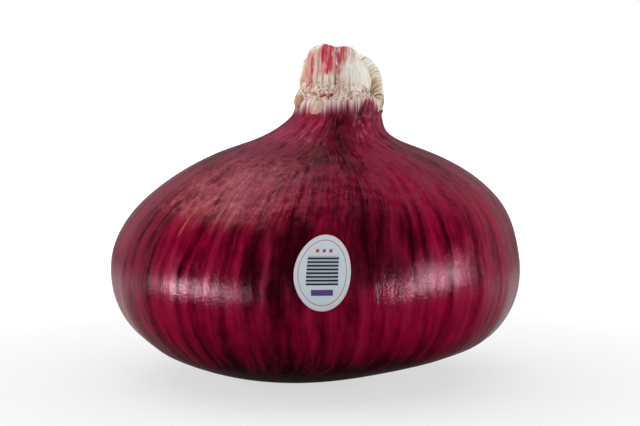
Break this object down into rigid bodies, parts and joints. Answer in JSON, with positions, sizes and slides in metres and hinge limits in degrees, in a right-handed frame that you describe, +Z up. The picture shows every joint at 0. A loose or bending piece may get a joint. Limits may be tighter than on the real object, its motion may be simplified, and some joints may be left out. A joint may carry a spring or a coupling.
{
  "type": "red onion",
  "caption": "Large flat red onion with glossy dry skin, a short cut neck of dried leaf bases, a root plate with trimmed roots and a plain oval sticker.",
  "frame": {"origin": "on the surface that the onion stands on, under the middle of its widest ring", "axes": "+Z up; -Y towards the viewer, with the sticker on that side; +X to the right, the way that the neck leans"},
  "size_m": [0.1152, 0.1162, 0.0938],
  "materials": {
    "dry_red_skin": "thin dry skin, semi-gloss, crimson with darker veins",
    "dried_leaf_bases": "matt dried leaf, cream to tan with crimson streaks",
    "dried_roots": "matt, fibrous, tan",
    "sticker_paper": "smooth coated paper, white with a plain print"
  },
  "bodies": {
    "root": {"bulb": "dry_red_skin", "neck": "dried_leaf_bases", "root_plate": "dried_roots", "sticker": "sticker_paper"}
  },
  "joints": []
}
